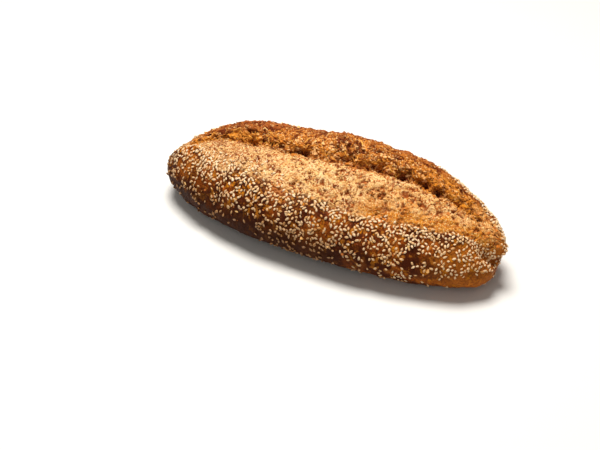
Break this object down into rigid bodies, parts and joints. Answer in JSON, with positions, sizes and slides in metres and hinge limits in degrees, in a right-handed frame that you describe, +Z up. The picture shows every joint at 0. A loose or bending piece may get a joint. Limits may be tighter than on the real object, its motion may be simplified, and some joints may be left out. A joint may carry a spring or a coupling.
{
  "type": "protein bread loaf",
  "caption": "Long oval wholegrain loaf, scored along its top with a craggy burst ridge and strewn with sesame seeds, standing on a flat underside.",
  "frame": {"origin": "centre of the underside, on the surface that the loaf stands on", "axes": "+X along the loaf, +Y from the seeded near flank to the ridge side, +Z up"},
  "size_m": [0.3003, 0.1137, 0.0806],
  "materials": {
    "crust": "baked wholegrain crust, dull, brown with golden patches",
    "burst": "torn and toasted crumb, craggy and dull",
    "sesame": "hulled sesame seed, cream with a soft sheen"
  },
  "bodies": {
    "root": {"loaf": "crust"}
  },
  "joints": []
}
